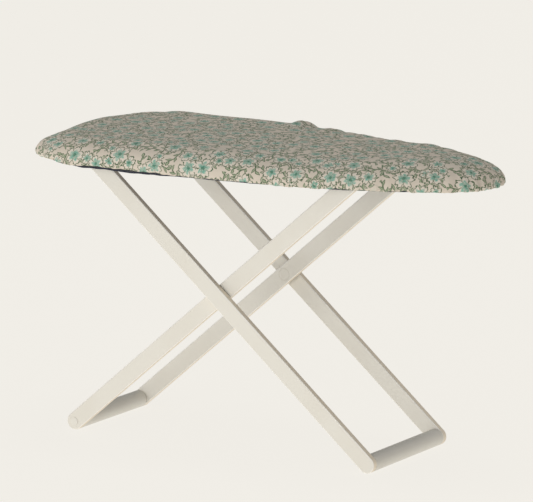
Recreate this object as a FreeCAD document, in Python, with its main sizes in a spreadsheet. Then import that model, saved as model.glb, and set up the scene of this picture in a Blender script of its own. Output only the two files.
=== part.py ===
import FreeCAD
import Part
import Sketcher

import math
import os
import re

# Doll-size folding ironing board: a padded, cloth-covered board on two crossed leg frames.
#
# Millimetres, +Z up, the floor at Z = 0. X runs along the board with its nose at +X, and the front is -Y.
# The origin is on the floor below the middle of the board.
#
# The outer leg frame is hinged to the board near its tail. The inner frame is riveted to it where they cross,
# and its top rod slides between the board and a strap below it. The upper arms of both frames are equal, and
# so are the lower arms, so the board stays level while they fold.

Vector = FreeCAD.Vector
Rotation = FreeCAD.Rotation
Placement = FreeCAD.Placement

SIDES = {"front": -1, "back": 1}
START, END, CENTRE = 1, 2, 3
ORIGIN, H_AXIS, V_AXIS = -1, -1, -2
HALF_TURN = math.pi
QUARTER_TURN = math.pi / 2
FULL_TURN_DEG = 360
HALF_TURN_DEG = 180
TINY = 1e-6

# The driving dimensions, in millimetres and degrees: alias, value and meaning.
SIZES = [
    ("underside", 105.1, "floor to the underside of the felt"),
    ("felt_thick", 0.6, "felt backing"),
    ("cloth_thick", 0.5, "cover"),
    ("panel_thick", 3.0, "wooden panel"),
    ("pad_thick", 4.2, "wadding on the panel"),
    ("layer_play", 0.1, "gap between the board's layers"),
    ("edge_round", 7.5, "rounding of the cover's top edge"),
    ("hem_wide", 8.0, "how far the cover is turned under"),
    ("felt_inset", 0.9, "edge of the cover in to the edge of the felt"),
    ("panel_inset", 2.4, "edge of the cover in to the edge of the panel"),
    ("tail_x", -90.7, "tail end of the cover"),
    ("side_x", -40.6, "where the straight sides end and the nose begins"),
    ("nose_x", 90.7, "tip of the nose"),
    ("half_wide", 44.2, "half the width of the cover"),
    ("corner_radius", 21.5, "tail corners"),
    ("flank_radius", 407.0, "nose: the first, longest arc of each side"),
    ("cheek_radius", 125.6, "nose: the second arc of each side"),
    ("tip_radius", 21.5, "nose: the arc round its tip"),
    ("leg_angle", 40.8, "slope of the leg strips to the floor, standing open"),
    ("folded_angle", 3.0, "slope of the leg strips to the board, folded"),
    ("arm_low", 85.0, "crossing rivet to the axis of a foot bar"),
    ("pivot_x", -11.8, "the crossing rivet's place along the board"),
    ("strip_wide", 6.5, "width of a leg strip, which is also the foot bar's diameter"),
    ("strip_thick", 2.6, "thickness of a leg strip"),
    ("strip_round", 0.45, "rounding of a leg strip's long edges"),
    ("mitre_round", 0.6, "rounding of the corners at a leg strip's cut top"),
    ("outer_half", 27.6, "middle of the board to the outer frame's outer face"),
    ("frame_gap", 0.5, "gap between outer and inner strips, where the washers sit"),
    ("leg_play", 0.2, "cut tops of the leg strips to the felt"),
    ("rod_drop", 1.4, "underside of the felt down to the axes of the top rods"),
    ("rod_radius", 0.7, "top rods"),
    ("spigot_radius", 1.6, "turned-down end of a foot bar"),
    ("blind_depth", 1.7, "depth of the hidden holes in the outer strips"),
    ("spigot_proud", 0.15, "how far the inner foot bar's spigots stand out"),
    ("shoulder_round", 0.3, "chamfer of a foot bar's shoulders"),
    ("press_play", 0.01, "radial clearance of fixed fits"),
    ("running_play", 0.05, "radial clearance of turning fits"),
    ("end_play", 0.08, "end clearance of turning fits"),
    ("rivet_radius", 1.3, "shank of a crossing rivet"),
    ("rivet_head_radius", 2.2, "flat head of a crossing rivet"),
    ("rivet_head_high", 0.9, "thickness of that head, which is sunk flush in the inner strip"),
    ("washer_radius", 2.9, "outside of a crossing washer"),
    ("collar_radius", 1.2, "outside of a hinge rod's collar"),
    ("collar_long", 1.5, "length of a hinge rod's collar"),
    ("fitting_metal", 0.5, "thickness of the saddles and the strap"),
    ("fitting_bend", 0.45, "outside bend radius of the saddles and the strap"),
    ("saddle_wide", 6.0, "width of a hinge saddle"),
    ("saddle_y", 15.0, "middle of the board to the middle of a saddle"),
    ("saddle_foot", 4.4, "length of each of a saddle's feet"),
    ("strap_wide", 4.0, "width of the slide strap"),
    ("strap_foot", 5.4, "length of each of the strap's feet"),
    ("slot_end", 0.4, "clearance between the slide rod and the ends of its slot"),
    ("slot_play", 0.15, "clearance between the slide rod and the strap below it"),
    ("screw_radius", 0.7, "screw shank"),
    ("screw_long", 3.6, "screw shank's length below its head"),
    ("screw_head_radius", 1.3, "screw head"),
    ("screw_head_high", 0.7, "height of a screw's head"),
    ("screw_slot_wide", 0.35, "width of a screw's slot"),
    ("screw_slot_deep", 0.35, "depth of a screw's slot"),
    ("screw_hole_play", 0.15, "radial clearance of the screw holes in the fittings"),
    ("pilot_play", 0.02, "radial clearance of the screw holes in felt and panel"),
]

doc = FreeCAD.newDocument("ironing_board")
sheet = doc.addObject("Spreadsheet::Sheet", "sizes")


def add_sizes(rows, first_row):
    for row, (alias, value, meaning) in enumerate(rows, start=first_row):
        sheet.set(f"A{row}", alias)
        sheet.set(f"B{row}", str(value))
        sheet.setAlias(f"B{row}", alias)
        sheet.set(f"C{row}", meaning)
    doc.recompute()


def size(alias):
    return float(sheet.get(alias))


def worked_out():
    """Places that follow from the driving dimensions, as further rows of the sheet."""
    slope = math.radians(size("leg_angle"))
    folded = math.radians(size("folded_angle"))
    foot = size("strip_wide") / 2
    pivot_z = foot + size("arm_low") * math.sin(slope)
    rod_z = size("underside") - size("rod_drop")
    above = size("rod_drop") - size("leg_play")
    offset = foot - above
    arm_up = (rod_z - pivot_z - offset * math.cos(slope)) / math.sin(slope)
    hinge_reach = arm_up * math.cos(slope) - offset * math.sin(slope)
    hinge_x = size("pivot_x") - hinge_reach
    slide_shut = hinge_x + 2 * (arm_up * math.cos(folded) - offset * math.sin(folded))
    return [
        ("pivot_z", pivot_z, "floor to the crossing rivets"),
        ("rod_z", rod_z, "floor to the axes of the top rods"),
        ("rod_offset", offset, "top rods off the middle line of their strips"),
        ("arm_up", arm_up, "crossing rivet to a top rod, along the strip"),
        ("mitre_near", arm_up + above * math.tan(slope / 2), "crossing rivet to the cut top's blunt corner"),
        (
            "mitre_far",
            arm_up + (above + (foot + offset) * math.cos(slope)) / math.sin(slope),
            "crossing rivet to the cut top's sharp corner",
        ),
        ("hinge_x", hinge_x, "the hinge rod's place along the board"),
        ("slide_x", size("pivot_x") + hinge_reach, "the slide rod's place along the board, standing open"),
        ("slide_shut", slide_shut, "the slide rod's place along the board, folded"),
        ("hem_z", size("underside") + size("felt_thick"), "floor to the cover's lowest face"),
    ]


add_sizes(SIZES, 1)
DERIVED = worked_out()
add_sizes(DERIVED, len(SIZES) + 1)


def in_sheet(formula):
    """A formula of aliases, such as "strip_wide / 2", as an expression that reads the sheet."""
    return re.sub(r"[a-z][a-z_]+", lambda word: f"sizes.{word.group()}", formula)


def value_of(formula):
    """The same formula's value."""
    numbers = re.sub(r"[a-z][a-z_]+", lambda word: f"({size(word.group()):.9f})", formula)
    return FreeCAD.Units.Quantity(numbers).Value


# ---------------------------------------------------------------- sketches and features

def new_body(label):
    body = doc.addObject("PartDesign::Body", label)
    body.Label = label
    return body


def new_sketch(body, name, role="XY_Plane", offset=None):
    """A sketch on one of the body's origin planes, or at an offset along that plane's normal."""
    plane = next(feature for feature in body.Origin.OriginFeatures if feature.Role == role)
    sketch = body.newObject("Sketcher::SketchObject", name)
    sketch.AttachmentSupport = (plane, [""])
    sketch.MapMode = "FlatFace"
    if offset is not None:
        sketch.AttachmentOffset = Placement(Vector(0, 0, value_of(offset)), Rotation())
        sketch.setExpression("AttachmentOffset.Base.z", in_sheet(offset))
    return sketch


def dimension(sketch, kind, places, name, formula):
    """Adds a dimension to the sketch, names it and binds it to the sheet."""
    index = sketch.addConstraint(Sketcher.Constraint(kind, *places, value_of(formula)))
    sketch.renameConstraint(index, name)
    sketch.setExpression(f"Constraints.{name}", in_sheet(formula))


def hold(sketch, place, name, x, y):
    """Holds a point of the sketch at formulas x and y. None puts it on the axis."""
    if x is None:
        sketch.addConstraint(Sketcher.Constraint("PointOnObject", *place, V_AXIS))
    else:
        dimension(sketch, "DistanceX", (ORIGIN, START, *place), f"{name}_x", x)
    if y is None:
        sketch.addConstraint(Sketcher.Constraint("PointOnObject", *place, H_AXIS))
    else:
        dimension(sketch, "DistanceY", (ORIGIN, START, *place), f"{name}_y", y)


def guess(formula):
    return 0.0 if formula is None else value_of(formula)


def polygon(sketch, corners):
    """A closed outline of straight lines. Each corner is a pair of formulas."""
    points = [Vector(guess(x), guess(y), 0) for x, y in corners]
    following = points[1:] + points[:1]
    lines = [sketch.addGeometry(Part.LineSegment(*pair), False) for pair in zip(points, following)]
    for i, line in enumerate(lines):
        next_line = lines[(i + 1) % len(lines)]
        sketch.addConstraint(Sketcher.Constraint("Coincident", line, END, next_line, START))
        hold(sketch, (line, START), f"corner{i}", *corners[i])


def circle(sketch, name, x, y, radius):
    ring = Part.Circle(Vector(guess(x), guess(y), 0), Vector(0, 0, 1), value_of(radius))
    index = sketch.addGeometry(ring, False)
    dimension(sketch, "Radius", (index,), f"{name}_radius", radius)
    hold(sketch, (index, CENTRE), name, x, y)


def arc(x, y, radius, start, end):
    return Part.ArcOfCircle(Part.Circle(Vector(x, y, 0), Vector(0, 0, 1), radius), start, end)


def line(x0, y0, x1, y1):
    return Part.LineSegment(Vector(x0, y0, 0), Vector(x1, y1, 0))


def extrude(body, kind, sketch, name, length, **settings):
    """A Pad or Pocket of the sketch. A Pocket that cuts nothing is an error."""
    before = body.Shape.Volume if kind == "Pocket" else None
    feature = body.newObject(f"PartDesign::{kind}", name)
    feature.Profile = sketch
    feature.Length = value_of(length)
    feature.setExpression("Length", in_sheet(length))
    for setting, value in settings.items():
        setattr(feature, setting, value)
    doc.recompute()
    if kind == "Pocket":
        assert body.Shape.Volume < before - TINY, f"{name} cut nothing"
    return feature


def revolve(body, name, corners):
    """A turned piece about the body's Y axis, from (radius, y) corners."""
    profile = new_sketch(body, f"{name}_profile")
    polygon(profile, corners)
    feature = body.newObject("PartDesign::Revolution", name)
    feature.Profile = profile
    feature.ReferenceAxis = (profile, ["V_Axis"])
    feature.Angle = FULL_TURN_DEG
    doc.recompute()
    return feature


def fillet(body, base, names, label, radius):
    feature = body.newObject("PartDesign::Fillet", label)
    feature.Base = (base, names)
    feature.Radius = value_of(radius)
    feature.setExpression("Radius", in_sheet(radius))
    doc.recompute()
    return feature


def edges_where(shape, test):
    return [f"Edge{i}" for i, edge in enumerate(shape.Edges, start=1) if test(edge)]


def faces_across(shape, direction):
    """The plane faces that lie across a direction."""
    names = []
    for i, face in enumerate(shape.Faces, start=1):
        if isinstance(face.Surface, Part.Plane) and abs(face.normalAt(0, 0).dot(direction)) > 1 - TINY:
            names.append(f"Face{i}")
    return names


def away_from_middle(side):
    """Turns a piece that was drawn for the back so that its own Y points away from the board's middle."""
    return Rotation(Vector(1, 0, 0), 0 if side > 0 else HALF_TURN_DEG)


# ---------------------------------------------------------------- the board's layers

def nose_angles(half, nose, flank, cheek, tip):
    """How far the flank and the cheek arc turn before the next arc takes over. Their centres and the tip's
    make a triangle with sides flank - cheek and cheek - tip."""
    first = flank - cheek
    second = cheek - tip
    across = nose - tip - size("side_x")
    down = flank - half
    span = math.hypot(across, down)
    lean = math.atan2(across, down)
    flank_end = lean - math.acos((first ** 2 + span ** 2 - second ** 2) / (2 * first * span))
    cheek_end = lean + math.acos((second ** 2 + span ** 2 - first ** 2) / (2 * second * span))
    return flank_end, cheek_end


def board_outline(sketch, inset):
    """The board's plan, moved in by a formula: a square tail with round corners, straight sides, and a nose
    of a flank, a cheek and a tip arc. All its curves are tangent."""
    moved = value_of(inset)
    tail, nose, side = size("tail_x") + moved, size("nose_x") - moved, size("side_x")
    half, corner = size("half_wide") - moved, size("corner_radius") - moved
    flank, cheek, tip = (size(f"{name}_radius") - moved for name in ("flank", "cheek", "tip"))
    flank_end, cheek_end = nose_angles(half, nose, flank, cheek, tip)
    cheek_x = side + (flank - cheek) * math.sin(flank_end)
    cheek_y = half - flank + (flank - cheek) * math.cos(flank_end)
    up = QUARTER_TURN
    curves = [
        (line(tail, half - corner, tail, corner - half), START, END),
        (arc(tail + corner, corner - half, corner, HALF_TURN, 3 * up), START, END),
        (line(tail + corner, -half, side, -half), START, END),
        (arc(side, flank - half, flank, -up, flank_end - up), START, END),
        (arc(cheek_x, -cheek_y, cheek, flank_end - up, cheek_end - up), START, END),
        (arc(nose - tip, 0, tip, cheek_end - up, up - cheek_end), START, END),
        (arc(cheek_x, cheek_y, cheek, up - cheek_end, up - flank_end), START, END),
        (arc(side, half - flank, flank, up - flank_end, up), START, END),
        (line(side, half, tail + corner, half), START, END),
        (arc(tail + corner, half - corner, corner, up, HALF_TURN), START, END),
    ]
    added = [sketch.addGeometry(curve, False) for curve, _, _ in curves]
    for first, second in zip(added, added[1:] + added[:1]):
        sketch.addConstraint(Sketcher.Constraint("Tangent", first, END, second, START))
    end, corner_front, side_front, flank_front, cheek_front, tip_arc, cheek_back, flank_back, side_back, _ = added
    sketch.addConstraint(Sketcher.Constraint("Vertical", end))
    sketch.addConstraint(Sketcher.Constraint("Horizontal", side_front))
    sketch.addConstraint(Sketcher.Constraint("Horizontal", side_back))
    sketch.addConstraint(Sketcher.Constraint("PointOnObject", tip_arc, CENTRE, H_AXIS))
    sketch.addConstraint(Sketcher.Constraint("Equal", flank_front, flank_back))
    sketch.addConstraint(Sketcher.Constraint("Equal", cheek_front, cheek_back))
    sketch.addConstraint(Sketcher.Constraint("Equal", corner_front, added[-1]))
    dimension(sketch, "Radius", (corner_front,), "corner", f"corner_radius - {inset}")
    dimension(sketch, "Radius", (flank_front,), "flank", f"flank_radius - {inset}")
    dimension(sketch, "Radius", (cheek_front,), "cheek", f"cheek_radius - {inset}")
    dimension(sketch, "Radius", (tip_arc,), "tip", f"tip_radius - {inset}")
    dimension(sketch, "DistanceX", (ORIGIN, START, end, START), "tail", f"tail_x + {inset}")
    dimension(sketch, "DistanceX", (ORIGIN, START, tip_arc, CENTRE), "tip_x", "nose_x - tip_radius")
    dimension(sketch, "DistanceX", (ORIGIN, START, side_front, END), "side", "side_x")
    dimension(sketch, "DistanceY", (side_front, END, ORIGIN, START), "half", f"half_wide - {inset}")


def slab(label, inset, thick, height, round_top=None):
    """A layer with the board's plan, moved in by inset, standing at a height. All are formulas."""
    body = new_body(label)
    outline = new_sketch(body, f"{label}_outline")
    board_outline(outline, inset)
    plate = extrude(body, "Pad", outline, f"{label}_plate", thick)
    if round_top:
        top = value_of(thick)
        rim = edges_where(plate.Shape, lambda edge: abs(edge.CenterOfMass.z - top) < TINY)
        fillet(body, plate, rim, f"{label}_rounding", round_top)
    body.Placement = Placement(Vector(0, 0, value_of(height)), Rotation())
    body.setExpression("Placement.Base.z", in_sheet(height))
    return body


def screw_places():
    """A name and the formulas of X and Y for each screw below the board."""
    saddle_screw = "(rod_radius + running_play + fitting_metal + saddle_foot / 2)"
    strap_screw = "(rod_radius + slot_end + fitting_metal + strap_foot / 2)"
    places = []
    for side, sign in SIDES.items():
        places.append((f"saddle_{side}_tail", f"hinge_x - {saddle_screw}", f"{sign} * saddle_y"))
        places.append((f"saddle_{side}_nose", f"hinge_x + {saddle_screw}", f"{sign} * saddle_y"))
    places.append(("strap_tail", f"slide_x - {strap_screw}", None))
    places.append(("strap_nose", f"slide_shut + {strap_screw}", None))
    return places


def drill_pilots(body, start, depth):
    """Pilot holes for all the screws, upwards from a height in the body."""
    spots = new_sketch(body, f"{body.Label}_pilot_spots", offset=start)
    for name, x, y in screw_places():
        circle(spots, name, x, y, "screw_radius + pilot_play")
    extrude(body, "Pocket", spots, f"{body.Label}_pilots", depth, Reversed=True)


def make_felt():
    """Felt backing, which shows as a thin line below the cover's turned hem."""
    felt = slab("felt_backing", "felt_inset", "felt_thick", "underside")
    drill_pilots(felt, None, "felt_thick")


def make_panel():
    """Wooden panel. Its middle stands down inside the turned hem, to the felt."""
    panel = slab("base_panel", "panel_inset", "panel_thick", "hem_z + cloth_thick + layer_play")
    middle = new_sketch(panel, "panel_middle_outline")
    board_outline(middle, "(hem_wide + 2 * layer_play)")
    extrude(panel, "Pad", middle, "panel_middle", "cloth_thick + layer_play", Reversed=True)
    drill_pilots(panel, "0 - cloth_thick - layer_play", "screw_long - fitting_metal - felt_thick + layer_play")


def make_pad():
    """Wadding: the room inside the cover, a little smaller, over the panel and round its edge."""
    thick = "panel_thick + layer_play + pad_thick"
    pad = slab("pad", "(cloth_thick + layer_play)", thick, "hem_z + cloth_thick + layer_play",
               "edge_round - cloth_thick - layer_play")
    room = new_sketch(pad, "panel_room_outline")
    board_outline(room, "(panel_inset - layer_play)")
    extrude(pad, "Pocket", room, "panel_room", "panel_thick + layer_play", Reversed=True)


def make_cover():
    """Cloth cover: the board's outer shape, less the room for its filling and the opening inside the hem."""
    room = "panel_thick + pad_thick + 3 * layer_play"
    outside = slab("cover_outside", "0", f"{room} + 2 * cloth_thick", "hem_z", "edge_round")
    inside = slab("cover_inside", "cloth_thick", room, "hem_z + cloth_thick", "edge_round - cloth_thick")
    opening = slab("cover_opening", "hem_wide", "2 * cloth_thick", "hem_z - cloth_thick / 2")
    hollow = doc.addObject("Part::Fuse", "cover_hollow")
    hollow.Base = inside
    hollow.Tool = opening
    cover = doc.addObject("Part::Cut", "cover")
    cover.Base = outside
    cover.Tool = hollow
    doc.recompute()


# ---------------------------------------------------------------- the leg frames

def make_strip(label, side, half, turn, lean, holes):
    """A leg strip with a round foot and a top cut parallel to the board. Its own X runs from the crossing
    rivet to the foot. lean is 1 if its own +Z side is uppermost, else -1.
    Each hole is a name, formulas of X, Z and radius, and a depth from the inside, or None for right through."""
    body = new_body(label)
    outline = new_sketch(body, f"{label}_outline", "XZ_Plane")
    foot, low = size("strip_wide") / 2, size("arm_low")
    near, far = size("mitre_near"), size("mitre_far")
    upper, cut, lower = (
        outline.addGeometry(curve, False)
        for curve in (
            line(low, lean * foot, -near, lean * foot),
            line(-near, lean * foot, -far, -lean * foot),
            line(-far, -lean * foot, low, -lean * foot),
        )
    )
    round_foot = outline.addGeometry(arc(low, 0, foot, -QUARTER_TURN, QUARTER_TURN), False)
    top_end, low_end = (END, START) if lean > 0 else (START, END)
    outline.addConstraint(Sketcher.Constraint("Coincident", upper, END, cut, START))
    outline.addConstraint(Sketcher.Constraint("Coincident", cut, END, lower, START))
    outline.addConstraint(Sketcher.Constraint("Tangent", lower, END, round_foot, low_end))
    outline.addConstraint(Sketcher.Constraint("Tangent", round_foot, top_end, upper, START))
    outline.addConstraint(Sketcher.Constraint("Horizontal", upper))
    outline.addConstraint(Sketcher.Constraint("Horizontal", lower))
    hold(outline, (round_foot, CENTRE), "foot", "arm_low", None)
    dimension(outline, "Radius", (round_foot,), "foot_radius", "strip_wide / 2")
    dimension(outline, "DistanceX", (ORIGIN, START, cut, START), "blunt_corner", "0 - mitre_near")
    dimension(outline, "DistanceX", (ORIGIN, START, cut, END), "sharp_corner", "0 - mitre_far")
    inward = side < 0
    strip = extrude(body, "Pad", outline, f"{label}_strip", "strip_thick", Reversed=inward)
    corners = edges_where(
        strip.Shape,
        lambda edge: isinstance(edge.Curve, Part.Line) and edge.CenterOfMass.x < -near + TINY
        and abs(edge.tangentAt(edge.FirstParameter).y) > 1 - TINY,
    )
    blunted = fillet(body, strip, corners, f"{label}_blunted", "mitre_round")
    fillet(body, blunted, faces_across(blunted.Shape, Vector(0, 1, 0)), f"{label}_edges", "strip_round")
    for name, x, z, radius, depth in holes:
        start = f"{'-' if inward else ''}1 * (strip_thick - ({depth}))" if depth else None
        spot = new_sketch(body, f"{label}_{name}_spot", "XZ_Plane", offset=start)
        circle(spot, name, x, z, radius)
        extrude(body, "Pocket", spot, f"{label}_{name}_hole", "strip_thick", Reversed=not inward)
    body.Placement = Placement(
        Vector(size("pivot_x"), side * half, size("pivot_z")), Rotation(Vector(0, 1, 0), turn)
    )


def make_foot_bar(label, half, spigot, along):
    """Round bar between two strips, with a turned-down spigot into each. along is where it stands, in X."""
    body = new_body(label)
    radius = "strip_wide / 2"
    shoulder = f"{half} - press_play"
    edge = f"{shoulder} - shoulder_round"
    tip = f"{half} + {spigot}"
    back = [
        (radius, edge),
        (f"{radius} - shoulder_round", shoulder),
        ("spigot_radius", shoulder),
        ("spigot_radius", tip),
        (None, tip),
    ]
    front = [(x, f"0 - ({y})") for x, y in reversed(back)]
    revolve(body, f"{label}_turned", front + back)
    body.Placement = Placement(Vector(along, 0, size("strip_wide") / 2), Rotation())


def make_rod(label, half, along):
    body = new_body(label)
    revolve(body, f"{label}_turned", [
        (None, f"0 - ({half})"),
        ("rod_radius", f"0 - ({half})"),
        ("rod_radius", half),
        (None, half),
    ])
    body.Placement = Placement(Vector(along, 0, size("rod_z")), Rotation())


def make_ring(label, inner, outer, long, centre, side):
    """A washer or collar that starts at its centre and runs away from the board's middle."""
    body = new_body(label)
    revolve(body, f"{label}_turned", [(inner, None), (outer, None), (outer, long), (inner, long)])
    body.Placement = Placement(centre, away_from_middle(side))


def make_crossing_rivet(label, side):
    """Fixed in the outer strip's hidden hole, it carries the washer and the inner strip. Its flat head lies
    flush in the inner strip's inside face."""
    body = new_body(label)
    tip = "strip_thick + frame_gap + blind_depth - end_play / 2"
    revolve(body, f"{label}_turned", [
        (None, None),
        ("rivet_head_radius", None),
        ("rivet_head_radius", "rivet_head_high"),
        ("rivet_radius", "rivet_head_high"),
        ("rivet_radius", tip),
        (None, tip),
    ])
    inside = value_of("outer_half - 2 * strip_thick - frame_gap")
    centre = Vector(size("pivot_x"), side * inside, size("pivot_z"))
    body.Placement = Placement(centre, away_from_middle(side))


def foot_reach():
    return size("arm_low") * math.cos(math.radians(size("leg_angle")))


def make_outer_frame():
    holes = [
        ("hinge", "0 - arm_up", "rod_offset", "rod_radius + press_play", None),
        ("crossing", None, None, "rivet_radius + press_play", "blind_depth"),
        ("foot", "arm_low", None, "spigot_radius + press_play", "blind_depth"),
    ]
    for side_name, side in SIDES.items():
        make_strip(f"outer_leg_{side_name}", side, size("outer_half"), size("leg_angle"), 1, holes)
    make_foot_bar("outer_foot_bar", "outer_half - strip_thick", "blind_depth - end_play",
                  size("pivot_x") + foot_reach())
    make_rod("hinge_rod", "outer_half", size("hinge_x"))


def make_inner_frame():
    holes = [
        ("slide", "0 - arm_up", "0 - rod_offset", "rod_radius + press_play", None),
        ("crossing", None, None, "rivet_radius + running_play", None),
        ("rivet_seat", None, None, "rivet_head_radius + running_play", "rivet_head_high + end_play"),
        ("foot", "arm_low", None, "spigot_radius + press_play", None),
    ]
    half = "outer_half - strip_thick - frame_gap"
    turn = HALF_TURN_DEG - size("leg_angle")
    for side_name, side in SIDES.items():
        make_strip(f"inner_leg_{side_name}", side, value_of(half), turn, -1, holes)
    make_foot_bar("inner_foot_bar", f"{half} - strip_thick", "strip_thick + spigot_proud",
                  size("pivot_x") - foot_reach())
    make_rod("slide_rod", half, size("slide_x"))


def make_rivets_and_rings():
    washer_y = value_of("outer_half - strip_thick - frame_gap + end_play / 2")
    collar_y = value_of("saddle_y + saddle_wide / 2 + end_play")
    for name, side in SIDES.items():
        make_crossing_rivet(f"crossing_rivet_{name}", side)
        make_ring(f"crossing_washer_{name}", "rivet_radius + press_play", "washer_radius",
                  "frame_gap - end_play", Vector(size("pivot_x"), side * washer_y, size("pivot_z")), side)
        make_ring(f"hinge_collar_{name}", "rod_radius + press_play", "collar_radius", "collar_long",
                  Vector(size("hinge_x"), side * collar_y, size("rod_z")), side)


# ---------------------------------------------------------------- the fittings below the board

def drill_fitting(body, label, spots):
    """Screw holes up through a fitting's feet, from below."""
    holes = new_sketch(body, f"{label}_screw_spots", offset="0 - fitting_metal")
    for name, x in spots:
        circle(holes, name, x, None, "screw_radius + screw_hole_play")
    extrude(body, "Pocket", holes, f"{label}_screw_holes", "2 * fitting_metal", Reversed=True)


def place_fitting(body, x, y):
    body.Placement = Placement(Vector(x, y, size("underside")), Rotation())


def make_saddle(label, side):
    """Bent saddle that holds the hinge rod to the board, with a foot and a screw on each side of it."""
    body = new_body(label)
    profile = new_sketch(body, f"{label}_profile", "XZ_Plane")
    inner = value_of("rod_radius + running_play")
    outer = inner + size("fitting_metal")
    end = outer + size("saddle_foot")
    foot, axis = -size("fitting_metal"), -size("rod_drop")
    curves = [
        line(inner, axis, inner, 0),
        line(inner, 0, end, 0),
        line(end, 0, end, foot),
        line(end, foot, outer, foot),
        line(outer, foot, outer, axis),
        arc(0, axis, outer, -HALF_TURN, 0),
        line(-outer, axis, -outer, foot),
        line(-outer, foot, -end, foot),
        line(-end, foot, -end, 0),
        line(-end, 0, -inner, 0),
        line(-inner, 0, -inner, axis),
        arc(0, axis, inner, -HALF_TURN, 0),
    ]
    added = [profile.addGeometry(curve, False) for curve in curves]
    outer_arc, inner_arc = added[5], added[11]
    for first, second in zip(added, added[1:] + added[:1]):
        kind = "Tangent" if {first, second} & {outer_arc, inner_arc} else "Coincident"
        leave = START if first == outer_arc else END
        enter = END if second == outer_arc else START
        profile.addConstraint(Sketcher.Constraint(kind, first, leave, second, enter))
    for i in (1, 3, 7, 9):
        profile.addConstraint(Sketcher.Constraint("Horizontal", added[i]))
    for i in (2, 8):
        profile.addConstraint(Sketcher.Constraint("Vertical", added[i]))
    hold(profile, (outer_arc, CENTRE), "rod", None, "0 - rod_drop")
    profile.addConstraint(Sketcher.Constraint("Coincident", inner_arc, CENTRE, outer_arc, CENTRE))
    dimension(profile, "Radius", (outer_arc,), "outside", "rod_radius + running_play + fitting_metal")
    dimension(profile, "Radius", (inner_arc,), "bore", "rod_radius + running_play")
    reach = "rod_radius + running_play + fitting_metal + saddle_foot"
    dimension(profile, "DistanceX", (ORIGIN, START, added[2], START), "nose_end", reach)
    dimension(profile, "DistanceX", (ORIGIN, START, added[8], START), "tail_end", f"0 - ({reach})")
    dimension(profile, "DistanceY", (ORIGIN, START, added[3], END), "nose_foot", "0 - fitting_metal")
    dimension(profile, "DistanceY", (ORIGIN, START, added[7], START), "tail_foot", "0 - fitting_metal")
    profile.addConstraint(Sketcher.Constraint("PointOnObject", added[1], START, H_AXIS))
    profile.addConstraint(Sketcher.Constraint("PointOnObject", added[9], END, H_AXIS))
    extrude(body, "Pad", profile, f"{label}_bent", "saddle_wide", Midplane=True)
    screw = "rod_radius + running_play + fitting_metal + saddle_foot / 2"
    drill_fitting(body, label, [("tail", f"0 - ({screw})"), ("nose", screw)])
    place_fitting(body, size("hinge_x"), side * size("saddle_y"))


def make_slide_strap():
    """Joggled strap. The slide rod runs along the slot between it and the board."""
    body = new_body("slide_strap")
    profile = new_sketch(body, "slide_strap_profile", "XZ_Plane")
    deep = "(rod_drop + rod_radius + slot_play)"
    slot_tail = "0 - rod_radius - slot_end"
    slot_nose = "slide_shut - slide_x + rod_radius + slot_end"
    polygon(profile, [
        (f"{slot_tail} - fitting_metal - strap_foot", None),
        (slot_tail, None),
        (slot_tail, f"0 - {deep}"),
        (slot_nose, f"0 - {deep}"),
        (slot_nose, None),
        (f"{slot_nose} + fitting_metal + strap_foot", None),
        (f"{slot_nose} + fitting_metal + strap_foot", "0 - fitting_metal"),
        (f"{slot_nose} + fitting_metal", "0 - fitting_metal"),
        (f"{slot_nose} + fitting_metal", f"0 - {deep} - fitting_metal"),
        (f"{slot_tail} - fitting_metal", f"0 - {deep} - fitting_metal"),
        (f"{slot_tail} - fitting_metal", "0 - fitting_metal"),
        (f"{slot_tail} - fitting_metal - strap_foot", "0 - fitting_metal"),
    ])
    strap = extrude(body, "Pad", profile, "slide_strap_bent", "strap_wide", Midplane=True)
    low = -value_of(f"{deep} + fitting_metal")
    bends = edges_where(
        strap.Shape,
        lambda edge: abs(edge.CenterOfMass.z - low) < TINY and abs(edge.CenterOfMass.y) < TINY,
    )
    fillet(body, strap, bends, "slide_strap_bends", "fitting_bend")
    drill_fitting(body, "slide_strap", [
        ("tail", f"{slot_tail} - fitting_metal - strap_foot / 2"),
        ("nose", f"{slot_nose} + fitting_metal + strap_foot / 2"),
    ])
    place_fitting(body, size("slide_x"), 0)


def make_screw(label, x, y):
    """Slotted round-head screw, drawn about its own Y axis with the head's underside at its origin."""
    body = new_body(label)
    turned = revolve(body, f"{label}_turned", [
        (None, "0 - screw_head_high"),
        ("screw_head_radius", "0 - screw_head_high"),
        ("screw_head_radius", None),
        ("screw_radius", None),
        ("screw_radius", "screw_long"),
        (None, "screw_long"),
    ])
    crown = -size("screw_head_high")
    rim = edges_where(turned.Shape, lambda edge: abs(edge.CenterOfMass.y - crown) < TINY)
    fillet(body, turned, rim, f"{label}_crown", "screw_head_high * 0.8")
    slot = new_sketch(body, f"{label}_slot_outline")
    polygon(slot, [
        ("0 - screw_slot_wide / 2", "0 - 2 * screw_head_high"),
        ("screw_slot_wide / 2", "0 - 2 * screw_head_high"),
        ("screw_slot_wide / 2", "screw_slot_deep - screw_head_high"),
        ("0 - screw_slot_wide / 2", "screw_slot_deep - screw_head_high"),
    ])
    extrude(body, "Pocket", slot, f"{label}_slot", "4 * screw_head_radius", Midplane=True)
    height = value_of("underside - fitting_metal")
    body.Placement = Placement(Vector(x, y, height), Rotation(Vector(1, 0, 0), HALF_TURN_DEG / 2))
    return body


def make_screws():
    """Two groups of screws: those of the saddles and those of the strap."""
    groups = {"saddle_screws": [], "strap_screws": []}
    for name, x, y in screw_places():
        group = "saddle_screws" if name.startswith("saddle") else "strap_screws"
        groups[group].append(make_screw(f"screw_{name}", guess(x), guess(y)))
    for label, screws in groups.items():
        group = doc.addObject("Part::Compound", label)
        group.Links = screws
    doc.recompute()


# ---------------------------------------------------------------- build, check and write

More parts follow.
